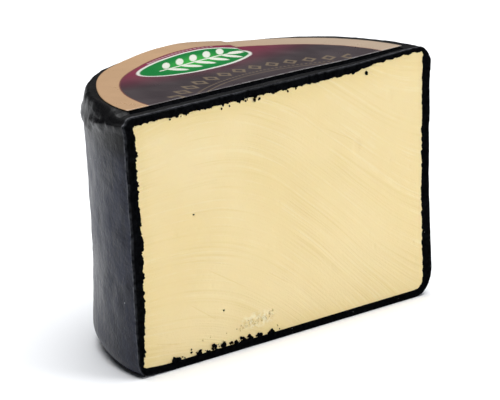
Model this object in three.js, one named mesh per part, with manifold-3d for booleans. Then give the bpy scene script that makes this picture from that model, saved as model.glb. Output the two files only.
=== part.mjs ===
// Half of a small round cheddar wheel, dipped in black wax and cut straight through its axis.
// Millimetres, +Z up. The wheel stands on its base, the cut face looks along -Y, and the origin
// is at the bottom, in the middle of the half wheel's own width and depth.
//
// Three pieces: the cheese, the wax coat that was cast round it in one dip, and the round paper
// label on top. All of them are turned shapes, cut by the same plane.

import * as THREE from "three";
import { mergeVertices } from "three/addons/utils/BufferGeometryUtils.js";
import Module from "manifold-3d";

// ---- the wheel, over its wax ----
const wheelDiameter = 160; // at mid height, before the side draws in
const wheelHeight = 105;
const topFlare = 1.4; // the wheel is this much wider in radius at the top than at the base
const waistDraw = 1.2; // the side draws in this deep at mid height
const topRoundHeight = 9; // the rounded edges, as quarter ellipses
const topRoundDepth = 6.5;
const baseRoundHeight = 12;
const baseRoundDepth = 9;

// ---- the wax coat's thickness ----
const sideWax = 3.8;
const topWax = 3.8;
const baseWax = 2.6;
const leastRound = 2; // the cheese keeps at least this much rounding inside the wax

// ---- the label ----
const labelThickness = 0.4;
const labelMargin = 0.5; // between the label's rim and the start of the top's rounding
const labelSetback = 5.5; // the label ends this far behind the cut face

// ---- fits ----
const seatGap = 0.3; // between one piece and the next

// ---- smoothness ----
const turnSteps = 80; // round the whole wheel
const curveSteps = 5; // along the side, and half as many steps as in each rounded edge

const wheelRadius = wheelDiameter / 2;
const wheelReach = wheelRadius + topFlare / 2;

const wasm = await Module();
wasm.setup();

// The outline of a turned body from base to top: its radius, its lowest and highest level, and
// how far each edge is rounded.
function turnedOutline({ radius, low, high, topRound, baseRound }) {
  const baseRadius = radius - topFlare / 2;
  const topRadius = radius + topFlare / 2;
  const sideLow = low + baseRound.height;
  const sideHigh = high - topRound.height;
  const baseFlat = baseRadius - baseRound.depth;
  const topFlat = topRadius - topRound.depth;
  const path = new THREE.Path();
  path.moveTo(0, low);
  path.lineTo(baseFlat, low);
  path.absellipse(baseFlat, sideLow, baseRound.depth, baseRound.height, -Math.PI / 2, 0);
  // A quadratic curve reaches half as far as its middle point.
  path.quadraticCurveTo(radius - 2 * waistDraw, (sideLow + sideHigh) / 2, topRadius, sideHigh);
  path.absellipse(topFlat, sideHigh, topRound.depth, topRound.height, 0, Math.PI / 2);
  path.lineTo(0, high);
  return path.getPoints(curveSteps);
}

// The same rounding inside a layer of wax: each way it loses the wax and stays above the least.
function roundInside(round, wax, capWax) {
  return {
    height: Math.max(round.height - capWax, leastRound),
    depth: Math.max(round.depth - wax, leastRound),
  };
}

const topRound = { height: topRoundHeight, depth: topRoundDepth };
const baseRound = { height: baseRoundHeight, depth: baseRoundDepth };

// The outline of the wheel's wax, moved inwards by a gap past the inside of the coat.
function outlineInsideWax(gap) {
  return turnedOutline({
    radius: wheelRadius - sideWax - gap,
    low: baseWax + gap,
    high: wheelHeight - topWax - gap,
    topRound: roundInside(topRound, sideWax + gap, topWax + gap),
    baseRound: roundInside(baseRound, sideWax + gap, baseWax + gap),
  });
}

// A three.js geometry as a solid that can be cut and joined.
function solidFrom(geometry) {
  geometry.deleteAttribute("normal");
  geometry.deleteAttribute("uv");
  const merged = mergeVertices(geometry, 1e-4);
  return new wasm.Manifold(
    new wasm.Mesh({
      numProp: 3,
      vertProperties: merged.attributes.position.array,
      triVerts: new Uint32Array(merged.index.array),
    }),
  );
}

// An outline turned about the wheel's axis, which stands along Z.
function turned(outline) {
  const geometry = new THREE.LatheGeometry(outline, turnSteps);
  geometry.rotateX(Math.PI / 2);
  return solidFrom(geometry);
}

// What lies more than a setback behind the cut plane.
function behindCut(setback) {
  const side = 4 * wheelReach;
  const box = new THREE.BoxGeometry(side, side, 4 * wheelHeight);
  box.translate(0, side / 2 + setback, 0);
  return solidFrom(box);
}

// A finished piece: its solid as a named mesh with its own colour and finish.
function pieceOf(name, solid, finish) {
  const mesh = solid.getMesh();
  const geometry = new THREE.BufferGeometry();
  geometry.setAttribute("position", new THREE.BufferAttribute(mesh.vertProperties, 3));
  geometry.setIndex(new THREE.BufferAttribute(mesh.triVerts, 1));
  geometry.computeVertexNormals();
  const piece = new THREE.Mesh(geometry, new THREE.MeshStandardMaterial(finish));
  piece.name = name;
  return piece;
}

// The pressed curd itself, filling the wax.
function cheese() {
  const body = turned(outlineInsideWax(seatGap)).intersect(behindCut(0));
  return pieceOf("cheese", body, { color: "#f0dca2", roughness: 0.55, metalness: 0 });
}

// One coat of wax over base, side and top, open where the wheel was cut.
function waxCoat() {
  const outside = turned(
    turnedOutline({ radius: wheelRadius, low: 0, high: wheelHeight, topRound, baseRound }),
  );
  const coat = outside.subtract(turned(outlineInsideWax(0))).intersect(behindCut(0));
  return pieceOf("wax_coat", coat, { color: "#1f2228", roughness: 0.35, metalness: 0 });
}

// A round of thin paper on the flat of the top, trimmed back from the cut.
function label() {
  const radius = wheelReach - topRoundDepth - labelMargin;
  const low = wheelHeight + seatGap;
  const outline = [
    new THREE.Vector2(0, low),
    new THREE.Vector2(radius, low),
    new THREE.Vector2(radius, low + labelThickness),
    new THREE.Vector2(0, low + labelThickness),
  ];
  const sheet = turned(outline).intersect(behindCut(labelSetback));
  return pieceOf("label", sheet, { color: "#b59a7d", roughness: 0.45, metalness: 0 });
}

const halfWheel = new THREE.Group();
halfWheel.name = "half_cheese_wheel";
halfWheel.position.y = -wheelReach / 2;
halfWheel.add(cheese(), waxCoat(), label());

export default halfWheel;
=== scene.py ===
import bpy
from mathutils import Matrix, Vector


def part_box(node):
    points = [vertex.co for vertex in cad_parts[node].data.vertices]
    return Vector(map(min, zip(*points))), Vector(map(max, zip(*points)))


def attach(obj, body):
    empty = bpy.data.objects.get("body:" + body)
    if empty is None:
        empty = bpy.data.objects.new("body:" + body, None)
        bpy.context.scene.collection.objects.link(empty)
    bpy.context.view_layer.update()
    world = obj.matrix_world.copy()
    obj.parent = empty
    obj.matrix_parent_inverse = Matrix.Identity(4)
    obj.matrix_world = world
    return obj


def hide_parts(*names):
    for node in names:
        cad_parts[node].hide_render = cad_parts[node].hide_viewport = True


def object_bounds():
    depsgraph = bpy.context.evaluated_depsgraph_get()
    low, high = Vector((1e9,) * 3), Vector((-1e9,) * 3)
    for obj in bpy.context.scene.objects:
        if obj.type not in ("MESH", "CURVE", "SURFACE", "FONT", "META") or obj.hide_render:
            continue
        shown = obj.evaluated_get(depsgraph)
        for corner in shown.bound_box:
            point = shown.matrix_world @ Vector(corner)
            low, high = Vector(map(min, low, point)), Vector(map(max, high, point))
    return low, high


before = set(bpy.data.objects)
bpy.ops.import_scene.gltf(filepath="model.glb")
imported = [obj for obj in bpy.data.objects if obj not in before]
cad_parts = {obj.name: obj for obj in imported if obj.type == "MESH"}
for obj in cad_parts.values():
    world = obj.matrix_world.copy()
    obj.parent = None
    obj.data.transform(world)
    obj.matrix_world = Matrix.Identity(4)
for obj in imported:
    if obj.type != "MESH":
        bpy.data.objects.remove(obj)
cad_bounds = [list(corner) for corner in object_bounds()]

import math
import random

import bmesh
import bpy
from mathutils import Matrix, Vector

MM = 0.001

# ---------------------------------------------------------------------------------------------
# The table, the light and the view.
# A white table stands under one very large soft light, with a smaller one in front on the
# right. The room around them is nearly dark, which keeps the wax and the print deep.

view = bpy.context.scene.view_settings
view.view_transform = "Standard"
view.look = "None"


def new_material(name):
    """A material with its node tree and its shader."""
    material = bpy.data.materials.new(name)
    material.use_nodes = True
    return material, material.node_tree, material.node_tree.nodes["Principled BSDF"]


table_material, _, table_shader = new_material("white_table")
table_shader.inputs["Base Color"].default_value = (0.94, 0.955, 0.98, 1)
table_shader.inputs["Roughness"].default_value = 0.8

table_half = 1.3
table_mesh = bpy.data.meshes.new("table")
table_mesh.from_pydata(
    [(-table_half, -table_half, 0), (table_half, -table_half, 0),
     (table_half, table_half, 0), (-table_half, table_half, 0)],
    [], [(0, 1, 2, 3)],
)
table_mesh.materials.append(table_material)
table = bpy.data.objects.new("table", table_mesh)
bpy.context.scene.collection.objects.link(table)

# The room: nearly dark, and a little lighter higher up. The camera sees a pale wall in it.
wall_strength = 0.8
world = bpy.data.worlds.new("studio")
world.use_nodes = True
bpy.context.scene.world = world
room = world.node_tree
room_direction = room.nodes.new("ShaderNodeTexCoord")
room_height = room.nodes.new("ShaderNodeSeparateXYZ")
room.links.new(room_direction.outputs["Generated"], room_height.inputs[0])
room_ramp = room.nodes.new("ShaderNodeMapRange")
room_ramp.interpolation_type = "SMOOTHSTEP"
room_ramp.inputs["From Min"].default_value = 0.02
room_ramp.inputs["From Max"].default_value = 0.45
room_ramp.inputs["To Min"].default_value = 0.03
room_ramp.inputs["To Max"].default_value = 0.05
room.links.new(room_height.outputs["Z"], room_ramp.inputs["Value"])
room_background = room.nodes["Background"]
room_background.inputs["Color"].default_value = (0.96, 0.98, 1.0, 1)
room_seen = room.nodes.new("ShaderNodeLightPath")
room_strength = room.nodes.new("ShaderNodeMix")
room_strength.inputs["B"].default_value = wall_strength
room.links.new(room_seen.outputs["Is Camera Ray"], room_strength.inputs["Factor"])
room.links.new(room_ramp.outputs["Result"], room_strength.inputs["A"])
room.links.new(room_strength.outputs["Result"], room_background.inputs["Strength"])


def soft_light(name, place, aim, size, power):
    """A square soft box that looks at a point."""
    light = bpy.data.lights.new(name, "AREA")
    light.shape = "SQUARE"
    light.size = size
    light.energy = power
    lamp = bpy.data.objects.new(name, light)
    direction = Vector(aim) - Vector(place)
    lamp.location = place
    lamp.rotation_euler = direction.to_track_quat("-Z", "Y").to_euler()
    bpy.context.scene.collection.objects.link(lamp)


middle = (Vector(cad_bounds[0]) + Vector(cad_bounds[1])) / 2
soft_light("front_box", place=(0.75, -1.35, 0.95), aim=middle, size=0.8, power=12.4)
soft_light("top_box", place=(0.25, 0.25, 2.2), aim=(0.25, 0.25, 0), size=2.4, power=88)

# The camera stands far off with a long lens, a little above the table and turned by a hair.
coat_low, coat_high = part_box("wax_coat")
cut_y = coat_low.y  # the cut, which runs through the wheel's axis
camera_azimuth = math.radians(-41.4)
camera_elevation = math.radians(15.35)
camera_roll = math.radians(-1.74)
camera_distance = 1.44
camera_aim = Vector((7.8 * MM, cut_y + 32 * MM, 48.6 * MM))

away = Vector((
    math.sin(camera_azimuth) * math.cos(camera_elevation),
    -math.cos(camera_azimuth) * math.cos(camera_elevation),
    math.sin(camera_elevation),
))
level = Vector((math.cos(camera_azimuth), math.sin(camera_azimuth), 0))
upright = away.cross(level)
right = math.cos(camera_roll) * level + math.sin(camera_roll) * upright
up = away.cross(right)
lens = bpy.data.cameras.new("camera")
lens.lens = 254.5
lens.sensor_width = 36
lens.clip_start = 0.05
lens.clip_end = 50
camera = bpy.data.objects.new("camera", lens)
camera.matrix_world = Matrix.Translation(camera_aim + away * camera_distance) @ Matrix(
    (right, up, away)
).transposed().to_4x4()
bpy.context.scene.collection.objects.link(camera)
bpy.context.scene.camera = camera

# ---------------------------------------------------------------------------------------------
# The cheese.
# One pressed block of pale cheddar that fills the wax. A wire was pulled through it, which left
# arched drag lines, a few small pits and a crumbled patch near the bottom of the cut face.

wheel_height = coat_high.z
wheel_flare = 1.4 * MM
wheel_radius = coat_high.y - coat_low.y - wheel_flare / 2


def turned_outline(steps, radius, low, high, base_round, top_round, flare, waist):
    """An edge line for a turned body, as (radius, level) points: out along the base, round the
    lower edge, up the side with its waist, round the upper edge and in along the top. Each
    rounding is (depth, height), and steps are those of the five stretches."""
    base_radius = radius - flare / 2
    top_radius = radius + flare / 2
    side_low = low + base_round[1]
    side_high = high - top_round[1]
    quarter = math.pi / 2
    stretches = (
        lambda t: (t * (base_radius - base_round[0]), low),
        lambda t: (
            base_radius - base_round[0] * (1 - math.sin(t * quarter)),
            side_low - base_round[1] * math.cos(t * quarter),
        ),
        lambda t: (
            base_radius + (top_radius - base_radius) * t - waist * 4 * t * (1 - t),
            side_low + (side_high - side_low) * t,
        ),
        lambda t: (
            top_radius - top_round[0] * (1 - math.cos(t * quarter)),
            side_high + top_round[1] * math.sin(t * quarter),
        ),
        lambda t: ((top_radius - top_round[0]) * (1 - t), high),
    )
    points = [rule(k / count) for rule, count in zip(stretches, steps) for k in range(count)]
    return points + [(0.0, high) if steps[-1] else stretches[3](1)]


def outline_mesh(name, **outlines):
    """Loose points that carry outlines of equal length as attributes, for a tree to read."""
    count = len(next(iter(outlines.values())))
    mesh = bpy.data.meshes.new(name)
    mesh.from_pydata([(0, 0, 0)] * count, [], [])
    for outline, points in outlines.items():
        attribute = mesh.attributes.new(outline, "FLOAT_VECTOR", "POINT")
        attribute.data.foreach_set("vector", [c for r, z in points for c in (r, 0, z)])
    return mesh


def feed(value, socket):
    """Sets a socket to a plain value, or links a Flow to it."""
    if isinstance(value, Flow):
        value.tree.links.new(value.socket, socket)
    else:
        socket.default_value = value


class Flow:
    """What comes out of a node. Writing a formula with it adds a Math node for each step."""

    def __init__(self, socket):
        self.socket = socket
        self.tree = socket.id_data

    def math(self, operation, *others):
        node = self.tree.nodes.new("ShaderNodeMath")
        node.operation = operation
        for value, socket in zip((self, *others), node.inputs):
            feed(value, socket)
        return Flow(node.outputs[0])

    def __add__(self, other):
        return self.math("ADD", other)

    def __sub__(self, other):
        return self.math("SUBTRACT", other)

    def __rsub__(self, other):
        return self.math("MULTIPLY_ADD", -1.0, other)

    def __mul__(self, other):
        return self.math("MULTIPLY", other)

    def __truediv__(self, other):
        return self.math("DIVIDE", other)

    __rmul__ = __mul__

    def rise(self, start, end):
        """0 up to start, 1 from end on, and smooth between."""
        node = self.tree.nodes.new("ShaderNodeMapRange")
        node.interpolation_type = "SMOOTHSTEP"
        feed(self, node.inputs["Value"])
        feed(start, node.inputs["From Min"])
        feed(end, node.inputs["From Max"])
        return Flow(node.outputs["Result"])

    def fall(self, start, end):
        """1 up to start, 0 from end on, and smooth between."""
        return 1.0 - self.rise(start, end)

    def bump_at(self, middle, width):
        """A smooth hump of height 1 at the middle, gone a width away on both sides."""
        return (self - middle).math("ABSOLUTE").fall(0.0, width)


def mix(a, b, share):
    """a where the share is 0 and b where it is 1."""
    return (b - a) * share + a


def point(x, y, z):
    """A point or vector from three flows or numbers."""
    tree = next(part.tree for part in (x, y, z) if isinstance(part, Flow))
    node = tree.nodes.new("ShaderNodeCombineXYZ")
    for value, socket in zip((x, y, z), node.inputs):
        feed(value, socket)
    return Flow(node.outputs[0])


def parts(place):
    """The x, y and z of a point."""
    node = place.tree.nodes.new("ShaderNodeSeparateXYZ")
    feed(place, node.inputs[0])
    return [Flow(socket) for socket in node.outputs]


def noise(place, size, detail=1.0, seed=0.0):
    """Smooth noise with lumps of a size, mostly between -1 and 1; the seed shifts it."""
    node = place.tree.nodes.new("ShaderNodeTexNoise")
    node.noise_dimensions = "4D"
    feed(place, node.inputs["Vector"])
    node.inputs["W"].default_value = seed
    node.inputs["Scale"].default_value = 1 / size
    node.inputs["Detail"].default_value = detail
    return (Flow(node.outputs[0]) - 0.5) * 4.0


def new_tree(name, sizes):
    """A Geometry Nodes tree with one named input for each size, and those inputs as flows."""
    tree = bpy.data.node_groups.new(name, "GeometryNodeTree")
    tree.interface.new_socket("Geometry", in_out="INPUT", socket_type="NodeSocketGeometry")
    tree.interface.new_socket("Geometry", in_out="OUTPUT", socket_type="NodeSocketGeometry")
    kinds = {int: "NodeSocketInt", float: "NodeSocketFloat"}
    for size, value in sizes.items():
        kind = kinds.get(type(value), "NodeSocketMaterial")
        tree.interface.new_socket(size, in_out="INPUT", socket_type=kind)
    entry = tree.nodes.new("NodeGroupInput")
    return tree, {socket.name: Flow(socket) for socket in entry.outputs if socket.name}


def end_tree(tree, nodes, material, marked_faces=None):
    """Links the last nodes of a tree, makes their result real and sets its material. The faces
    marked with a name get a material of their own: marked_faces is that name and material."""
    finish = tree.nodes.new("GeometryNodeSetMaterial")
    feed(material, finish.inputs["Material"])
    chain = [*nodes, tree.nodes.new("GeometryNodeRealizeInstances"), finish]
    if marked_faces:
        name, own_material = marked_faces
        chosen = tree.nodes.new("GeometryNodeInputNamedAttribute")
        chosen.data_type = "BOOLEAN"
        chosen.inputs["Name"].default_value = name
        own = tree.nodes.new("GeometryNodeSetMaterial")
        tree.links.new(chosen.outputs[0], own.inputs["Selection"])
        feed(own_material, own.inputs["Material"])
        chain.append(own)
    chain.append(tree.nodes.new("NodeGroupOutput"))
    for before, after in zip(chain, chain[1:]):
        tree.links.new(before.outputs[0], after.inputs[0])


def welded(tree, sheets):
    """The nodes that join sheets and weld their shared edges."""
    join = tree.nodes.new("GeometryNodeJoinGeometry")
    for surface in reversed(sheets):
        tree.links.new(surface.socket, join.inputs[0])
    weld = tree.nodes.new("GeometryNodeMergeByDistance")
    weld.inputs["Distance"].default_value = 0.02 * MM
    return [join, weld]


def run_tree(name, start, tree, sizes):
    """Runs a tree on a mesh. The result is an object with a plain smooth mesh."""
    made = bpy.data.objects.new(name, start)
    bpy.context.scene.collection.objects.link(made)
    modifier = made.modifiers.new("shape", "NODES")
    modifier.node_group = tree
    for item in tree.interface.items_tree:
        if item.in_out == "INPUT" and item.name in sizes:
            modifier[item.identifier] = sizes[item.name]
    graph = bpy.context.evaluated_depsgraph_get()
    result = bpy.data.meshes.new_from_object(
        made.evaluated_get(graph), preserve_all_data_layers=True, depsgraph=graph
    )
    made.modifiers.remove(modifier)
    made.data = result
    result.name = name
    result.shade_smooth()
    return made


def face_out(made):
    """Welds what still lies together and turns every face outwards."""
    work = bmesh.new()
    work.from_mesh(made.data)
    bmesh.ops.remove_doubles(work, verts=work.verts, dist=1e-5)
    bmesh.ops.dissolve_degenerate(work, edges=work.edges, dist=1e-7)
    bmesh.ops.recalc_face_normals(work, faces=work.faces)
    work.to_mesh(made.data)
    work.free()
    made.data.shade_smooth()


def stored(surface, name, kind, domain, value):
    """Geometry with a value stored on it under a name."""
    node = surface.tree.nodes.new("GeometryNodeStoreNamedAttribute")
    node.data_type = kind
    node.domain = domain
    feed(surface, node.inputs["Geometry"])
    node.inputs["Name"].default_value = name
    feed(value, node.inputs["Value"])
    return Flow(node.outputs[0])


def sheet(tree, columns, rows, place, mark=None):
    """A grid put in place by a rule: place(across, along) gives the x, y and z of a point from
    its share of the way over the columns and over the rows. A mark is a name and a rule of the
    same kind, whose number is stored on the points."""
    grid = tree.nodes.new("GeometryNodeMeshGrid")
    feed(1.0, grid.inputs["Size X"])
    feed(1.0, grid.inputs["Size Y"])
    feed(columns, grid.inputs["Vertices X"])
    feed(rows, grid.inputs["Vertices Y"])
    spot = Flow(tree.nodes.new("GeometryNodeInputPosition").outputs[0])
    across, along, _ = parts(spot)
    surface = Flow(grid.outputs["Mesh"])
    if mark:
        name, rule = mark
        surface = stored(surface, name, "FLOAT", "POINT", rule(across + 0.5, along + 0.5))
    moved = tree.nodes.new("GeometryNodeSetPosition")
    feed(surface, moved.inputs["Geometry"])
    feed(point(*place(across + 0.5, along + 0.5)), moved.inputs["Position"])
    return Flow(moved.outputs["Geometry"])


def stored_outline(geometry, outline, row):
    """The radius and level of a stored outline at a row."""
    tree = geometry.tree
    named = tree.nodes.new("GeometryNodeInputNamedAttribute")
    named.data_type = "FLOAT_VECTOR"
    named.inputs["Name"].default_value = outline
    sample = tree.nodes.new("GeometryNodeSampleIndex")
    sample.data_type = "FLOAT_VECTOR"
    tree.links.new(geometry.socket, sample.inputs["Geometry"])
    tree.links.new(named.outputs[0], sample.inputs["Value"])
    feed(row, sample.inputs["Index"])
    radius, _, height = parts(Flow(sample.outputs[0]))
    return radius, height


def wire_lines(x, z, seed):
    """Drag lines of the cutting wire: long and narrow, nearly level at the left, bending down
    across the middle and levelling out again at the right."""
    across = x + 75 * MM
    bend = across * 0.52 - (across * (math.tau / (190 * MM))).math("SINE") * (13 * MM)
    follow = z * (1.0 - x * (0.003 / MM)) + bend
    follow += noise(point(x, 0.0, z), 60 * MM, 1.0, seed) * (2 * MM)
    fine = noise(point(x * 0.025, 0.0, follow), 1.1 * MM, 1.0, seed + 1)
    broad = noise(point(x * 0.04, 0.0, follow), 3.2 * MM, 1.0, seed + 2)
    patches = noise(point(x, 0.0, z), 24 * MM, 1.0, seed + 3).rise(-0.6, 0.6)
    return (fine * 1.25 + broad * 0.5) * (patches * 0.7 + 0.6)


def patch(x, z, middle, reach):
    """1 in the middle of a round patch of the cut face, fading to 0 at its reach."""
    dx = (x - middle[0]) / reach[0]
    dz = (z - middle[1]) / reach[1]
    return (dx * dx + dz * dz).fall(0.15, 1.0)


def scratch(x, z, start, end):
    """1 along a thin straight scratch on the cut face, fading to 0 on both sides and ends."""
    width = 0.35 * MM
    length = math.dist(start, end)
    run_x, run_z = (end[0] - start[0]) / length, (end[1] - start[1]) / length
    along = (x - start[0]) * run_x + (z - start[1]) * run_z
    off = (z - start[1]) * run_x - (x - start[0]) * run_z
    ends = along.rise(0.0, length * 0.3) * along.fall(length * 0.7, length)
    return off.math("ABSOLUTE").fall(0.0, width) * ends


def lean(x, height):
    """How far the wheel, which sagged while it was warm, stands up at the top right and curls up
    at the bottom left."""
    at_right = x.rise(33 * MM, 75 * MM) * height.rise(70 * MM, 100 * MM)
    at_left = x.fall(-80 * MM, -62 * MM) * height.fall(3 * MM, 20 * MM)
    return at_right * (1.05 * MM) + at_left * (1.0 * MM)


def right_shoulder(x, height):
    """How much further up the cheese fills the coat at the top right."""
    return x.rise(35 * MM, 50 * MM) * height.rise(90 * MM, 100 * MM) * (1.5 * MM)


crumbled = ((-18 * MM, 10.5 * MM), (12 * MM, 4 * MM))
scratches = [
    ((-55 * MM, 25.5 * MM), (-38 * MM, 14 * MM)),
    ((-74 * MM, 13 * MM), (-56 * MM, 9 * MM)),
    ((-46 * MM, 38 * MM), (-22 * MM, 24 * MM)),
    ((-14 * MM, 30 * MM), (2 * MM, 20 * MM)),
    ((18 * MM, 83 * MM), (40 * MM, 72 * MM)),
]
smear = ((-9 * MM, 38.5 * MM), (7 * MM, 3.5 * MM))
dimples = [
    ((38 * MM, 71 * MM), (2.6 * MM, 3.2 * MM)),
    ((57 * MM, 88 * MM), (2.2 * MM, 3.0 * MM)),
    ((-50 * MM, 60 * MM), (1.0 * MM, 0.8 * MM)),
    ((-36 * MM, 18 * MM), (0.9 * MM, 0.8 * MM)),
    ((-59 * MM, 54 * MM), (2.0 * MM, 1.6 * MM)),
]

# The material, a moist and slightly see-through paste. It is warmer in broad clouds and beside
# the wax, paler along the drag lines' crests, and chalky where it crumbled.
cheese_material, cheese_tree, cheese_shader = new_material("cheddar")
cheese_shader.inputs["Subsurface Weight"].default_value = 0.25
cheese_shader.inputs["Subsurface Radius"].default_value = (1.0, 0.7, 0.3)
cheese_shader.inputs["Subsurface Scale"].default_value = 2.5 * MM
cheese_shader.inputs["Specular IOR Level"].default_value = 0.35


def object_place(tree):
    """Where a point lies on the object, in metres."""
    return Flow(tree.nodes.new("ShaderNodeTexCoord").outputs["Object"])


def blend_colour(under, over, share):
    """One colour over another, by share. Each is a flow or red, green and blue."""
    node = share.tree.nodes.new("ShaderNodeMix")
    node.data_type = "RGBA"
    feed(share, node.inputs["Factor"])
    colour_a, colour_b = node.inputs[6:8]
    for colour, socket in ((under, colour_a), (over, colour_b)):
        feed(colour if isinstance(colour, Flow) else (*colour, 1), socket)
    return Flow(node.outputs[2])


def bump(shader, height, depth):
    """Gives a shader fine relief: the height is a flow and the depth its real size."""
    node = height.tree.nodes.new("ShaderNodeBump")
    node.inputs["Distance"].default_value = depth
    feed(height, node.inputs["Height"])
    height.tree.links.new(node.outputs["Normal"], shader.inputs["Normal"])


cheese_low, cheese_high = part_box("cheese")
place = object_place(cheese_tree)
x, y, z = parts(place)
lines = wire_lines(x, z, 3.0)
clouds = noise(place, 45 * MM, 2.0, 11.0)
curd = noise(place, 5 * MM, 2.0, 12.0)
edge_top = z.rise(cheese_high.z - 9 * MM, cheese_high.z)
edge_base = z.fall(cheese_low.z, cheese_low.z + 7 * MM)
edge_left = x.fall(cheese_low.x, cheese_low.x + 9 * MM)
chalk = patch(x, z, *crumbled) * noise(place, 1.6 * MM, 2.0, 13.0).rise(-0.4, 0.4)
paste_tints = [
    ((0.785, 0.620, 0.285), (edge_left + edge_base * 0.7) * 0.55),
    ((0.770, 0.610, 0.275), edge_top * 0.6),
    ((0.800, 0.640, 0.320), x.rise(10 * MM, 70 * MM) * 0.5),
    ((0.860, 0.735, 0.450), (lines + curd * 0.5).rise(0.1, 1.6) * 0.45),
    ((0.740, 0.575, 0.250), (lines * -1.0).rise(0.2, 1.6) * 0.40),
    ((0.890, 0.820, 0.600), chalk * 0.7),
]
scratch_tint = (0.720, 0.550, 0.230)
paste_tints += [(scratch_tint, scratch(x, z, start, end) * 0.45) for start, end in scratches]
colour = blend_colour((0.805, 0.645, 0.325), (0.835, 0.685, 0.375), clouds.rise(-0.8, 0.8))
for tint, share in paste_tints:
    colour = blend_colour(colour, tint, share)
feed(colour, cheese_shader.inputs["Base Color"])
feed(curd * 0.06 + 0.46 + chalk * 0.25, cheese_shader.inputs["Roughness"])
bump(cheese_shader, lines + noise(place, 0.7 * MM, 2.0, 14.0) * 0.5, 0.06 * MM)

# The shape: the cut face is a fine sheet with its relief, and the rest is plain inside the wax.
cheese_sizes = {
    "Columns": 280,
    "Rows": 176,
    "Turn Steps": 25,
    "Line Depth": 0.13 * MM,
    "Pit Depth": 0.45 * MM,
    "Crumble Depth": 1.1 * MM,
    "Material": cheese_material,
}
cheese_tree, size = new_tree("cheese_block", cheese_sizes)
outlines = size["Geometry"]


def relief(x, z):
    """How deep the cut face lies behind the cut."""
    spot = point(x, 0.0, z)
    depth = wire_lines(x, z, 3.0) * size["Line Depth"]
    depth += noise(spot, 22 * MM, 2.0, 4.0) * (0.15 * MM)
    pits = noise(spot, 1.9 * MM, 0.0, 5.0).rise(1.15, 1.6)
    depth += pits * size["Pit Depth"] * 0.6
    for middle, reach in dimples:
        depth += patch(x, z, middle, reach) * size["Pit Depth"] * 0.6
    for start, end in scratches:
        depth += scratch(x, z, start, end) * (0.22 * MM)
    rough = noise(spot, 1.8 * MM, 2.0, 6.0)
    depth += patch(x, z, *crumbled) * rough * size["Crumble Depth"] * 0.35
    depth += patch(x, z, *smear) * rough * size["Crumble Depth"] * 0.15
    return depth


def cheese_row(along):
    """The radius and level of the block at a share of the way along its outline."""
    return stored_outline(outlines, "edge", (along * (size["Rows"] - 1.0)).math("ROUND"))


def settled(x, y, height):
    """The block as it lies in the wax: wider at the left of the cut, and leaning."""
    wider = x.fall(-75 * MM, -45 * MM) * y.fall(cut_y, cut_y + 30 * MM) * (2.6 * MM)
    return x - wider, y, height + lean(x, height) + right_shoulder(x, height)


def cut_face(across, along):
    radius, height = cheese_row(along)
    x = (across * 2.0 - 1.0) * radius
    # The relief dies out at the very edge, where the face meets the plain sides.
    inner = 1.0 - (across * 2.0 - 1.0).math("ABSOLUTE").rise(0.985, 1.0)
    ends = along.rise(0.0, 0.01) * along.fall(0.99, 1.0)
    return settled(x, relief(x, height) * inner * ends + cut_y, height)


def turned_side(across, along):
    radius, height = cheese_row(along)
    turn = across * math.pi
    return settled(turn.math("COSINE") * radius, turn.math("SINE") * radius + cut_y, height)


def cap(row_share):
    """A half round lid on the first or last row, its lines parallel with the cut."""
    def place(across, along):
        radius, height = stored_outline(outlines, "edge", row_share * (size["Rows"] - 1.0))
        turn = along * (math.pi / 2)
        x = turn.math("COSINE") * radius * (across * 2.0 - 1.0)
        return settled(x, turn.math("SINE") * radius + cut_y, height)
    return place


columns, rows, turns = size["Columns"], size["Rows"], size["Turn Steps"]
half_turns = (turns + 1.0) / 2.0
block_sheets = [
    sheet(cheese_tree, columns, rows, cut_face),
    sheet(cheese_tree, turns, rows, turned_side),
    sheet(cheese_tree, columns, half_turns, cap(0.0)),
    sheet(cheese_tree, columns, half_turns, cap(1.0)),
]
end_tree(cheese_tree, welded(cheese_tree, block_sheets), size["Material"])
cheese_outline = turned_outline(
    (0, 12, 152, 11, 0),
    cheese_high.x - 0.3 * MM,
    cheese_low.z + 0.3 * MM,
    cheese_high.z + 0.7 * MM,
    (1.6 * MM, 1.8 * MM),
    (1.2 * MM, 1.5 * MM),
    flare=wheel_flare,
    waist=0.8 * MM,
)
cheese_start = outline_mesh("cheese_outline", edge=cheese_outline)
cheese = run_tree("cheese_paste", cheese_start, cheese_tree, cheese_sizes)
face_out(cheese)
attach(cheese, "root")
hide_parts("cheese")

# ---------------------------------------------------------------------------------------------
# The wax coat.
# Black cheese wax, dipped on in one coat over base, side and top, so it is uneven and has a
# lumpy rim where the second half was dipped. The wire dragged its cut edge over the cheese.

wax_material, wax_tree, wax_shader = new_material("black_cheese_wax")
wax_shader.inputs["Specular IOR Level"].default_value = 0.18


def specks(place, spacing, share, size):
    """Sparse round specks: a share of the cells of a loose grid holds one of a size."""
    node = place.tree.nodes.new("ShaderNodeTexVoronoi")
    feed(place, node.inputs["Vector"])
    node.inputs["Scale"].default_value = 1 / spacing
    red, _, _ = parts(Flow(node.outputs["Color"]))
    near = Flow(node.outputs["Distance"]).fall(size / spacing * 0.6, size / spacing)
    return near * red.math("GREATER_THAN", 1 - share)


def attribute_of(tree, name):
    """A number that is stored on the mesh under a name."""
    node = tree.nodes.new("ShaderNodeAttribute")
    node.attribute_name = name
    return Flow(node.outputs["Fac"])


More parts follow.
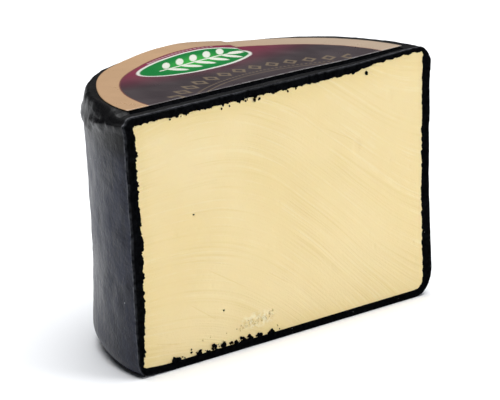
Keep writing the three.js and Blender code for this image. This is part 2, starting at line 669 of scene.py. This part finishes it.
place = object_place(wax_tree)
x, y, z = parts(place)
turn = (y - cut_y).math("ARCTAN2", x)
streak_place = point(turn * wheel_radius, 0.0, z * 0.14)
streaks = noise(streak_place, 3.0 * MM, 3.0, 21.0)
bloom = noise(place, 14 * MM, 3.0, 22.0)
grain = noise(place, 0.9 * MM, 2.0, 23.0)
scuffs = noise(place, 2.2 * MM, 2.0, 24.0)
lint = specks(place, 4.5 * MM, 0.08, 0.30 * MM)
# A pale line along the edges beside the cut: a painted highlight.
painted_edge_highlight = attribute_of(wax_tree, "painted_edge_highlight") * scuffs.rise(-1.0, 0.8)
# On the side the black wax is painted bluer and paler, mottled along streaks and clouds: a painted
# blue sheen of reflected light. The top is left near black.
on_side = (z + bloom * (3 * MM)).fall(wheel_height - 22 * MM, wheel_height - 8 * MM)
deep_blue_sheen, pale_blue_sheen = (0.006, 0.007, 0.014), (0.024, 0.028, 0.050)
top_black = (0.003, 0.003, 0.0035)
highlight_grey = (0.16, 0.165, 0.185)
lint_grey = (0.55, 0.55, 0.55)
side_sheen = blend_colour(deep_blue_sheen, pale_blue_sheen, (streaks + bloom * 1.4 + grain).rise(-1.6, 2.0))
colour = blend_colour(top_black, side_sheen, on_side)
colour = blend_colour(colour, highlight_grey, painted_edge_highlight * 0.8)
colour = blend_colour(colour, lint_grey, lint * 0.8)
feed(colour, wax_shader.inputs["Base Color"])
feed(streaks * 0.06 + bloom * 0.08 + grain * 0.05 + 0.40, wax_shader.inputs["Roughness"])
bump(wax_shader, streaks * 0.4 + grain * 0.4 + scuffs * 0.6, 0.10 * MM)

# Where it was cut, the wax is darker, rougher and dull. A pale line is painted along its outer edge
# as a highlight, and pale specks as glints.
cut_wax_material, cut_wax_tree, cut_wax_shader = new_material("cut_wax")
cut_wax_shader.inputs["Specular IOR Level"].default_value = 0.03
cut_wax_shader.inputs["IOR"].default_value = 1.12
place = object_place(cut_wax_tree)
drag = noise(place, 1.6 * MM, 3.0, 25.0)
# Pale specks in the colour: painted glints.
glints = specks(place, 2.6 * MM, 0.12, 0.20 * MM)
colour = blend_colour((0.0008, 0.0009, 0.0012), (0.0034, 0.0037, 0.0045), drag.rise(-0.8, 1.0))
# A pale line along the cut's outer edge: a painted highlight.
painted_edge_highlight = attribute_of(cut_wax_tree, "painted_edge_highlight") * drag.rise(-1.0, 0.8)
colour = blend_colour(colour, (0.060, 0.062, 0.070), painted_edge_highlight * 0.8)
colour = blend_colour(colour, (0.30, 0.30, 0.30), glints * 0.7)
feed(colour, cut_wax_shader.inputs["Base Color"])
feed(drag * 0.08 + 0.42, cut_wax_shader.inputs["Roughness"])
bump(cut_wax_shader, drag, 0.12 * MM)

wax_thickness = 3.8 * MM
wax_steps = (110, 28, 200, 28, 190)  # base, lower edge, side, upper edge and top
wax_sizes = {
    "Turn Steps": 112,
    "Band Steps": 12,
    "Lining Steps": 13,
    "Rows": sum(wax_steps) + 1,
    "Rim Row": sum(wax_steps[:3]),
    "Dent Depth": 0.36 * MM,
    "Streak Depth": 0.05 * MM,
    "Lump Height": 0.32 * MM,
    "Ridge Height": 1.15 * MM,
    "Tooth Length": 0.75 * MM,
    "Material": wax_material,
    "Cut Material": cut_wax_material,
}
wax_tree, size = new_tree("dipped_coat", wax_sizes)
outlines = size["Geometry"]
label_low, label_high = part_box("label")
label_radius = label_high.x - 1.5 * MM
label_middle = (-3.0 * MM, 3.2 * MM)  # to the left of and behind the axis: it was laid askew
label_setback = 5.4 * MM
last = size["Rows"] - 1.0


def smooth_coat(turn, row):
    """The outside of an even coat. Towards both ends of the cut it takes on another outline."""
    radius, height = stored_outline(outlines, "outside", row)
    for end_name, share in (
        ("right_end", turn.fall(0.10, 0.70)),
        ("left_end", turn.rise(2.60, 3.10)),
    ):
        end_radius, end_height = stored_outline(outlines, end_name, row)
        radius = mix(radius, end_radius, share)
        height = mix(height, end_height, share)
    return radius, height


def unevenness(turn, row, radius, height):
    """How far the wax stands proud of an even coat."""
    spot = point(turn.math("COSINE") * radius, turn.math("SINE") * radius, height)
    low_side = height.rise(6 * MM, 20 * MM)
    on_side = low_side * height.fall(wheel_height - 12 * MM, wheel_height - 7 * MM)
    on_rim = row.rise(size["Rim Row"] - 8.0, size["Rim Row"] + 6.0) * radius.rise(
        label_radius - 1 * MM, label_radius + 2 * MM)
    off_base = height.rise(0.1 * MM, 4 * MM)
    streak_spot = point(turn * wheel_radius, 0.0, height * 0.12)
    proud = noise(spot, 38 * MM, 1.0, 31.0) * (0.35 * MM) * (on_side + on_rim * 0.4)
    dents = noise(spot, 11 * MM, 2.0, 32.0) * size["Dent Depth"]
    proud += dents * off_base * (on_side + on_rim * 0.3)
    proud += noise(streak_spot, 3.4 * MM, 2.0, 33.0) * size["Streak Depth"] * on_side
    x, y, _ = parts(spot)
    calm = 1.0 - x.rise(-5 * MM, 35 * MM) * y.rise(15 * MM, 35 * MM) * 0.85
    proud += noise(spot, 6 * MM, 1.0, 34.0) * size["Lump Height"] * on_rim * calm
    ridge = (row + noise(spot, 7 * MM, 1.0, 35.0) * 4.0).bump_at(size["Rim Row"], 8.0)
    proud += ridge * size["Ridge Height"] * noise(spot, 5 * MM, 1.0, 36.0).rise(-1.0, 0.4)
    return proud


def askew(x):
    """How much further back the label was trimmed at the left than at the right."""
    return x.fall(5 * MM, 70 * MM) * (2.2 * MM) - x.rise(45 * MM, 72 * MM) * (0.6 * MM)


def label_bed(turn, radius, height):
    """The wax stands a little higher under the label. The strip before it lies lower and is
    uneven, with a groove right in front of the paper."""
    x = turn.math("COSINE") * radius
    back = turn.math("SINE") * radius
    dx = x - label_middle[0]
    dy = back - label_middle[1]
    reach = (dx * dx + dy * dy).math("SQRT")
    behind = back - askew(x)
    under = behind.rise(label_setback - 0.5 * MM, label_setback) * reach.fall(
        label_radius - 1.0 * MM, label_radius - 0.4 * MM)
    top = height.rise(wheel_height - 0.5 * MM, wheel_height)
    strip = noise(point(x * 0.4, back, height), 3 * MM, 2.0, 39.0) * (0.14 * MM)
    groove = behind.rise(1.6 * MM, 3.4 * MM) * behind.fall(4.5 * MM, 5.3 * MM)
    groove = groove * x.fall(45 * MM, 66 * MM) * (1.0 * MM)
    bead = reach.bump_at(label_radius + 2.8 * MM, 3.6 * MM) * behind.rise(4 * MM, 12 * MM)
    near_top = height.rise(wheel_height - 9 * MM, wheel_height - 4 * MM)
    bead_height = x.fall(-45 * MM, 15 * MM) * (1.4 * MM) - x.rise(0.0, 30 * MM) * (0.25 * MM)
    bed = top * (under * (0.2 * MM) + (1.0 - under) * strip - groove)
    return bed + bead * near_top * bead_height


def coat_point(turn, row):
    """The outside of the real coat, as radius and level."""
    radius, height = smooth_coat(turn, row)
    inner_radius, inner_height = stored_outline(outlines, "lining", row)
    out = radius - inner_radius
    rise = height - inner_height
    thick = (out * out + rise * rise).math("SQRT")
    proud = unevenness(turn, row, radius, height)
    bed = label_bed(turn, radius, height) + lean(turn.math("COSINE") * radius, height)
    return radius + out / thick * proud, height + rise / thick * proud + bed


def tear(side, radius, height):
    """How far the wire dragged the wax in over the cheese, at the end of the turn on a side."""
    across = radius * side
    spot = point(across, 0.0, height)
    on_top = height.rise(wheel_height - 9 * MM, wheel_height - 5 * MM)
    on_base = height.fall(4 * MM, 8 * MM)
    messy = across.bump_at(-36 * MM, 32 * MM) * on_base
    corner = across.rise(66 * MM, 74 * MM) * on_base
    rough_top = on_top * (across.bump_at(-36 * MM, 46 * MM) * 0.9 + 0.5)
    side_share = 1.25 if side < 0 else 0.35  # the left side tore more
    rough_side = side_share * (1.0 - on_top) * (1.0 - on_base * 0.5)
    ragged = rough_side + rough_top + messy * 0.2
    wide = noise(spot, 9 * MM, 1.0, 41.0) * 0.8
    teeth = noise(spot, 2.4 * MM, 0.0, 42.0).rise(0.0, 0.45) * 0.9
    flecks = noise(spot, 0.8 * MM, 2.0, 43.0) * 0.7
    blobs = noise(spot, 3.6 * MM, 0.0, 45.0).rise(-0.4, 0.5)
    lumps = corner * (1.2 * MM) + (messy * 1.3 + rough_top * 0.7) * blobs * MM
    return (wide + teeth + flecks - 0.4) * ragged * size["Tooth Length"] + lumps


# The two ends of the coat, stored once along the outline: the edge of the outside, and the torn
# tip of the cut wax.
row = Flow(wax_tree.nodes.new("GeometryNodeInputIndex").outputs[0]) * 1.0
ends = outlines
for side, side_name in ((1, "right"), (-1, "left")):
    turn = row * 0.0 + (0.0 if side > 0 else math.pi)
    radius, height = coat_point(turn, row)
    rim_radius, rim_height = stored_outline(outlines, side_name + "_rim", row)
    rim_x = rim_radius * side
    rim_height += lean(rim_x, rim_height) + right_shoulder(rim_x, rim_height)
    out = rim_radius - radius
    rise = rim_height - height
    thick = (out * out + rise * rise).math("SQRT")
    reach = tear(side, rim_radius, rim_height) / thick + 1.0
    for part_name, x, level in (
        ("edge", radius * side, height),
        ("tip", (radius + out * reach) * side, height + rise * reach),
    ):
        ends = stored(
            ends, side_name + "_" + part_name, "FLOAT_VECTOR", "POINT", point(x, 0.0, level))


def outside(across, along):
    """The outside of the coat. Its steps are finer towards the cut, at both ends of the turn."""
    turn = (across - (across * math.tau).math("SINE") * (0.6 / math.tau)) * math.pi
    radius, height = coat_point(turn, (along * last).math("ROUND"))
    return turn.math("COSINE") * radius, turn.math("SINE") * radius + cut_y, height


def cut_band(side_name):
    """The cut through the coat at one end of the turn, from its outside to its torn tip."""
    def place(across, along):
        row = (along * last).math("ROUND")
        edge_x, edge_level = stored_outline(ends, side_name + "_edge", row)
        tip_x, tip_level = stored_outline(ends, side_name + "_tip", row)
        x = mix(edge_x, tip_x, across)
        level = mix(edge_level, tip_level, across)
        spot = point(x, 0.0, level)
        body = across.rise(0.0, 0.12) * across.fall(0.80, 1.0)
        drag = noise(spot, 2.6 * MM, 2.0, 44.0) * (0.16 * MM)
        lip = across.rise(0.0, 0.08) * across.fall(0.10, 0.30) * (0.22 * MM)
        proud = (drag + 0.30 * MM) * body + lip - across.rise(0.85, 1.0) * (0.30 * MM)
        return x, cut_y - proud, level
    return place


def lining(across, along):
    """The inside of the coat, which the cheese fills."""
    row = (along * last).math("ROUND")
    radius, height = stored_outline(outlines, "lining", row)
    turn = across * math.pi
    steps = size["Lining Steps"] - 1.0
    x = turn.math("COSINE") * radius
    y = turn.math("SINE") * radius + cut_y
    # The first and the last column lie on the torn tips.
    for side_name, near in (
        ("right", (across * steps).fall(0.1, 0.9)),
        ("left", ((1.0 - across) * steps).fall(0.1, 0.9)),
    ):
        tip_x, tip_level = stored_outline(ends, side_name + "_tip", row)
        x = mix(x, tip_x, near)
        y = mix(y, cut_y + 0.30 * MM, near)
        height = mix(height, tip_level, near)
    return x, y, height


def highlight_on_outside(across, along):
    """Where a highlight is painted on the outside: a pale line at its edges, beside the cut."""
    return across.fall(0.0, 0.008) + across.rise(0.992, 1.0)


def highlight_on_band(across, along):
    """Where a highlight is painted on the cut: a pale line along its outer edge."""
    return across.fall(0.03, 0.14)


def shaded_groove_faces():
    """More than 0 on the faces of the groove in front of the label. They get the dark, dull cut
    material: painted shade under the paper's front edge.
    """
    x, y, z = parts(Flow(wax_tree.nodes.new("GeometryNodeInputPosition").outputs[0]))
    behind = y - cut_y - askew(x)
    across_groove = behind.rise(2.6 * MM, 2.8 * MM) * behind.fall(5.6 * MM, 5.8 * MM)
    on_label = z.rise(wheel_height - 2.6 * MM, wheel_height - 2.2 * MM) * x.fall(64 * MM, 70 * MM)
    return across_groove * on_label * x.rise(-76 * MM, -72 * MM)


rows, bands = size["Rows"], size["Band Steps"]
dipped = sheet(
    wax_tree, size["Turn Steps"], rows, outside, mark=("painted_edge_highlight", highlight_on_outside))
cut_sheets = [
    sheet(wax_tree, bands, rows, cut_band("right"), mark=("painted_edge_highlight", highlight_on_band)),
    sheet(wax_tree, bands, rows, cut_band("left"), mark=("painted_edge_highlight", highlight_on_band)),
    sheet(wax_tree, size["Lining Steps"], rows, lining),
]
# The groove's faces take the cut material as painted shade.
groove_in_painted_shade = shaded_groove_faces().math("GREATER_THAN", 0.3)
coat_sheets = [
    stored(dipped, "cut", "BOOLEAN", "FACE", groove_in_painted_shade),
    *(stored(surface, "cut", "BOOLEAN", "FACE", True) for surface in cut_sheets),
]
end_tree(
    wax_tree, welded(wax_tree, coat_sheets), size["Material"],
    marked_faces=("cut", size["Cut Material"]))
wax_outlines = {
    "outside": turned_outline(
        wax_steps, wheel_radius + 0.2 * MM, 0, wheel_height,
        (8.0 * MM, 10 * MM), (4.6 * MM, 9.5 * MM), flare=0.8 * MM, waist=1.2 * MM),
    "right_end": turned_outline(
        wax_steps, wheel_radius, 0, wheel_height,
        (9.5 * MM, 12 * MM), (6.5 * MM, 9 * MM), flare=wheel_flare, waist=1.2 * MM),
    "left_end": turned_outline(
        wax_steps, wheel_radius + 2.0 * MM, 0, wheel_height,
        (3.6 * MM, 7 * MM), (3.5 * MM, 3.5 * MM), flare=2.8 * MM, waist=0.0),
    "lining": turned_outline(
        wax_steps, wheel_radius - wax_thickness, 2.6 * MM, wheel_height - wax_thickness,
        (2 * MM, 2.4 * MM), (1.4 * MM, 1.8 * MM), flare=wheel_flare, waist=0.8 * MM),
    "right_rim": turned_outline(
        wax_steps, wheel_radius - 5.4 * MM, 3.0 * MM, wheel_height - wax_thickness,
        (2.5 * MM, 3 * MM), (1.2 * MM, 1.5 * MM), flare=2.4 * MM, waist=1.0 * MM),
    "left_rim": turned_outline(
        wax_steps, wheel_radius - 2.0 * MM, 3.0 * MM, wheel_height - wax_thickness,
        (0.8 * MM, 0.8 * MM), (0.8 * MM, 0.8 * MM), flare=0.9 * MM, waist=2.3 * MM),
}
wax = run_tree("wax", outline_mesh("wax_outlines", **wax_outlines), wax_tree, wax_sizes)
face_out(wax)
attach(wax, "root")
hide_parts("wax_coat")

# ---------------------------------------------------------------------------------------------
# The bits and crumbs.
# The wire broke small bits off the wax, most of them at the bottom, and pressed them into the
# moist cheese beside the torn edge. Pale crumbs of cheese hang in the crumbled patch.


def bead_tree(name):
    """A tree that puts a small uneven bead on every point, each of its own size and turn."""
    tree, size = new_tree(name, {"Smallest": 0.0, "Largest": 0.0, "Material": None})
    bead = tree.nodes.new("GeometryNodeMeshIcoSphere")
    bead.inputs["Radius"].default_value = 0.5
    bead.inputs["Subdivisions"].default_value = 2
    dented = tree.nodes.new("GeometryNodeSetPosition")
    tree.links.new(bead.outputs["Mesh"], dented.inputs["Geometry"])
    spot = Flow(tree.nodes.new("GeometryNodeInputPosition").outputs[0])
    x, y, z = parts(spot)
    swell = noise(spot, 0.6, 1.0, 61.0) * 0.45 + 1.0
    feed(point(x * swell, y * swell * 0.7, z * swell), dented.inputs["Position"])

    def any_of(low, high, seed, vector):
        """A random number or vector between two others."""
        node = tree.nodes.new("FunctionNodeRandomValue")
        node.data_type = "FLOAT_VECTOR" if vector else "FLOAT"
        index = 0 if vector else 2
        feed(low, node.inputs[index])
        feed(high, node.inputs[index + 1])
        node.inputs["Seed"].default_value = seed
        return node.outputs[0 if vector else 1]

    placed = tree.nodes.new("GeometryNodeInstanceOnPoints")
    tree.links.new(size["Geometry"].socket, placed.inputs["Points"])
    tree.links.new(dented.outputs[0], placed.inputs["Instance"])
    tree.links.new(any_of((0, 0, 0), (6.28, 6.28, 6.28), 7, True), placed.inputs["Rotation"])
    tree.links.new(any_of(size["Smallest"], size["Largest"], 8, False), placed.inputs["Scale"])
    end_tree(tree, [placed], size["Material"])
    return tree


def beads(name, tree, spots, smallest, largest, material):
    """One mesh of beads, with one on each spot of the cut face, given as x and z."""
    start = bpy.data.meshes.new(name + "_spots")
    start.from_pydata([(x, cut_y - 0.1 * MM, z) for x, z in spots], [], [])
    sizes = {"Smallest": smallest, "Largest": largest, "Material": material}
    made = run_tree(name, start, tree, sizes)
    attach(made, "root")
    return made


beads_on_points = bead_tree("beads_on_points")
chance = random.Random(12)
base_border = 3.5 * MM
left_border = -78.3 * MM
top_border = 101.0 * MM


def fallen(count, rate):
    """How far bits lie from the edge that they broke off, most of them close to it."""
    return [min(chance.expovariate(1 / rate), 5 * rate) for _ in range(count)]


small_bits = [
    (chance.gauss(-36, 16) * MM, base_border + far) for far in fallen(34, 0.6 * MM)
] + [
    (left_border + far, chance.uniform(8, 97) * MM) for far in fallen(14, 0.3 * MM)
] + [
    (chance.uniform(-74, 10) * MM, top_border - far) for far in fallen(9, 0.2 * MM)
] + [(-36.0 * MM, 18.3 * MM), (-29.5 * MM, 9.0 * MM), (-50.0 * MM, 60.5 * MM)]
small_wax = beads(
    "small_wax_bits", beads_on_points, small_bits, 0.35 * MM, 1.1 * MM, cut_wax_material)

# The larger bits hang together in clumps along the bottom, and a few lie under the top edge.
clump_middles = [-62, -59.5, -50, -41, -36, -31.5, -26.5, -22, -17.5, -11.5]
large_bits = []
for across in clump_middles:
    for far in fallen(3, 0.5 * MM):
        large_bits.append((across * MM + chance.gauss(0, 0.9) * MM, base_border + far))
large_bits += [
    (44.0 * MM, 100.2 * MM), (36.5 * MM, 101.8 * MM),
    (-16.5 * MM, 100.4 * MM), (-14.0 * MM, 100.2 * MM),
]
large_wax = beads(
    "large_wax_bits", beads_on_points, large_bits, 1.1 * MM, 2.3 * MM, cut_wax_material)

# Crumbs in the crumbled patch, along a line that rises a little, and some along the bottom.
crumb_spots = []
for _ in range(60):
    along = chance.uniform(-10, 9)
    crumb_spots.append((
        crumbled[0][0] + along * MM,
        crumbled[0][1] + (along * 0.16 + chance.gauss(0, 0.9)) * MM,
    ))
crumb_spots += [(chance.gauss(-38, 14) * MM, base_border + far) for far in fallen(20, 1.6 * MM)]
crumbs = beads(
    "cheese_crumbs", beads_on_points, crumb_spots, 0.3 * MM, 1.1 * MM, cheese_material)

# ---------------------------------------------------------------------------------------------
# The label.
# One round of thin glossy printed paper, laid on the warm wax and trimmed behind the cut. It has
# a tan ring round a dark burgundy disc, and it has lifted and creased along its back.

label_material, label_tree, label_shader = new_material("printed_label")
label_shader.inputs["Coat Weight"].default_value = 0.3
label_shader.inputs["Coat Roughness"].default_value = 0.12

disc_radius = 61.0 * MM
print_blur = 0.25 * MM
place = object_place(label_tree)
place_right, place_y, _ = parts(place)
place_back = place_y - cut_y
x = place_right - label_middle[0]
y = place_back - label_middle[1]
radius = (x * x + y * y).math("SQRT")


def inside(distance):
    """1 where a distance from an edge is negative, with a hair of blur as print has."""
    return distance.fall(-print_blur, print_blur)


def oval(x, y, middle, reach):
    """How far outside an oval a point lies, near enough."""
    dx = (x - middle[0]) / reach[0]
    dy = (y - middle[1]) / reach[1]
    return ((dx * dx + dy * dy).math("SQRT") - 1.0) * min(reach)


def turned_oval(x, y, middle, reach, angle):
    """An oval with its long way turned by an angle."""
    c, s = math.cos(angle), math.sin(angle)
    along = (x - middle[0]) * c + (y - middle[1]) * s
    over = (y - middle[1]) * c - (x - middle[0]) * s
    return oval(along, over, (0, 0), reach)


# Ring and disc. The ring's tan is painted greyer towards the right, and the burgundy disc greyer
# towards the front and lighter in broad patches: painted sheen on the glossy paper.
fibre = noise(point(x, y, 0.0), 0.8 * MM, 2.0, 51.0)
tan = blend_colour((0.470, 0.300, 0.172), (0.435, 0.335, 0.248), x.rise(-10 * MM, 62 * MM))
tan = blend_colour(tan, (0.400, 0.265, 0.160), fibre.rise(0.0, 1.6) * 0.5)
sheen_patches = noise(point(x, y, 0.0), 16 * MM, 2.0, 55.0).rise(-1.0, 1.0)
front_disc_with_sheen = blend_colour((0.036, 0.026, 0.030), (0.062, 0.048, 0.052), sheen_patches)
back_disc = blend_colour((0.160, 0.010, 0.040), (0.215, 0.030, 0.062), sheen_patches)
towards_back = (y - x.math("ABSOLUTE") * 0.12).rise(20 * MM, 54 * MM)
deep = blend_colour(front_disc_with_sheen, back_disc, towards_back)
colour = blend_colour(tan, (0.16, 0.06, 0.05), inside(radius - disc_radius - 0.3 * MM))
colour = blend_colour(colour, deep, inside(radius - disc_radius + 0.2 * MM))

# A green oval with a pale rim and a sprig of leaves: a stem, five pairs of leaves and a tip.
badge = (-2.5 * MM, 45 * MM)
leaf_pairs = 5
leaf_spacing = 7.2 * MM
leaf_reach = (4.3 * MM, 1.55 * MM)
leaf_angle = math.radians(48)
rim_of_badge = inside(oval(x, y, badge, (29 * MM, 12.5 * MM)))
face_of_badge = inside(oval(x, y, badge, (27.6 * MM, 11.1 * MM)))
badge_depth = oval(x, y, badge, (29 * MM, 12 * MM)).fall(-12 * MM, -3 * MM)
green = blend_colour((0.0, 0.17, 0.030), (0.03, 0.34, 0.04), badge_depth)
colour = blend_colour(colour, (0.64, 0.66, 0.60), rim_of_badge)
colour = blend_colour(colour, green, face_of_badge)
off_stem = (y - badge[1] + 0.5 * MM).math("ABSOLUTE") - 0.45 * MM
past_stem = (x - badge[0]).math("ABSOLUTE") - 19 * MM
leaves = inside(off_stem) * inside(past_stem)
for k in range(leaf_pairs):
    for side in (-1, 1):
        leaf_middle = (badge[0] + k * leaf_spacing - 12 * MM, badge[1] + side * 3.7 * MM)
        leaf = turned_oval(x, y, leaf_middle, leaf_reach, side * leaf_angle)
        leaves = leaves.math("MAXIMUM", inside(leaf))
tip_leaf = oval(x, y, (badge[0] + 22 * MM, badge[1] - 0.5 * MM), (4.2 * MM, 1.7 * MM))
leaves = leaves.math("MAXIMUM", inside(tip_leaf))
colour = blend_colour(colour, (0.66, 0.68, 0.60), leaves)


def arc_motifs(middle, arc_radius, half_angle, spacing, shape):
    """A row of motifs along an arc: shape(along, out) is how far outside a motif a point lies."""
    dx = x - middle[0]
    dy = y - middle[1]
    angle = dx.math("ARCTAN2", dy)
    out = (dx * dx + dy * dy).math("SQRT") - arc_radius
    cell = (angle * (arc_radius / spacing) + 0.5).math("FRACT") - 0.5
    return inside(shape(cell * spacing, out)) * inside((angle.math("ABSOLUTE") - half_angle) * 0.05)


def lozenge(half_width, half_height):
    def shape(along, out):
        outside_share = along.math("ABSOLUTE") / half_width + out.math("ABSOLUTE") / half_height
        return (outside_share - 1.0) * min(half_width, half_height)
    return shape


def dot(dot_radius):
    return lambda along, out: (along * along + out * out).math("SQRT") - dot_radius


def thin_line(half_width):
    return lambda along, out: out.math("ABSOLUTE") - half_width


# A row of open lozenges with dots and a thin line below it, and pale dots along the back.
gold = (0.165, 0.125, 0.085)
pale_pink = (0.42, 0.28, 0.30)
arc_middle = (1 * MM, -54 * MM)
lozenge_row = (arc_middle, 76 * MM, 0.66, 8.2 * MM)
ornaments = [
    (gold, arc_motifs(*lozenge_row, lozenge(3.2 * MM, 4.3 * MM))),
    (deep, arc_motifs(*lozenge_row, lozenge(1.6 * MM, 2.3 * MM))),
    (gold, arc_motifs(arc_middle, 69.5 * MM, 0.55, 1.9 * MM, dot(0.55 * MM))),
    (gold, arc_motifs(arc_middle, 66.6 * MM, 0.50, 9 * MM, thin_line(0.28 * MM))),
    (pale_pink, arc_motifs((0.0, 0.0), 59.4 * MM, 0.30, 1.9 * MM, dot(0.70 * MM))),
]
for tint, mask in ornaments:
    colour = blend_colour(colour, tint, mask)
# The trimmed front edge shows a hair of bare paper.
front = place_back - askew(place_right) - label_setback
bare = front.fall(0.25 * MM, 0.65 * MM) * noise(place, 3 * MM, 2.0, 54.0).rise(-1.0, 0.6)
bare = bare * (place_right.rise(-35 * MM, 0.0) * 0.7 + 0.3)
colour = blend_colour(colour, (0.26, 0.25, 0.25), bare)
feed(colour, label_shader.inputs["Base Color"])
wrinkles = noise(point(x, y * 0.5, 0.0), 7 * MM, 3.0, 52.0)
feed(fibre * 0.02 + wrinkles * 0.03 + 0.30, label_shader.inputs["Roughness"])
bump(label_shader, wrinkles + fibre * 0.05, 0.06 * MM)

paper_thickness = 0.22 * MM
paper_top = label_low.z + 0.3 * MM
label_sizes = {
    "Columns": 190,
    "Rows": 84,
    "Setback": label_setback,
    "Lift": 2.0 * MM,
    "Crease Depth": 0.10 * MM,
    "Material": label_material,
}
label_tree, size = new_tree("label_round", label_sizes)


def lifted(x, y):
    """How far the paper has lifted off the wax: a pocket along the back that ends in a fold."""
    fold = x - (y - 60 * MM) * 0.35
    over = x.rise(-34 * MM, 8 * MM) * x.fall(6 * MM, 40 * MM)
    pocket = y.rise(34 * MM, 60 * MM) * over * fold.fall(23.5 * MM, 26.5 * MM)
    spot = point(x, y, 0.0)
    creases = noise(spot, 12 * MM, 2.0, 53.0) * size["Crease Depth"] * y.rise(8 * MM, 20 * MM)
    return pocket * size["Lift"] + creases + lean(x, x * 0.0 + wheel_height)


def label_face(across, along):
    start = ((size["Setback"] - label_middle[1]) / label_radius).math("ARCSINE")
    turn = mix(start, math.pi / 2, along)
    # The ring is narrower at the back left, where the paper was cut a little off its round.
    back_left = turn.bump_at(0.62, 0.60) * across.fall(0.0, 0.35)
    reach = label_radius - back_left * (2.2 * MM)
    x = (across * 2.0 - 1.0) * turn.math("COSINE") * reach + label_middle[0]
    front = 1.0 - along
    y = turn.math("SINE") * reach + label_middle[1] + askew(x) * front * front
    return x, y + cut_y, lifted(x, y) + paper_top


label_sheet = sheet(label_tree, size["Columns"], size["Rows"], label_face)
end_tree(label_tree, welded(label_tree, [label_sheet]), size["Material"])
label_start = outline_mesh("label_outline", edge=[(0, 0)])  # the tree only needs a mesh
label = run_tree("round_label", label_start, label_tree, label_sizes)
thickness = label.modifiers.new("paper_thickness", "SOLIDIFY")
thickness.thickness = paper_thickness
thickness.offset = -1
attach(label, "root")
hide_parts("label")
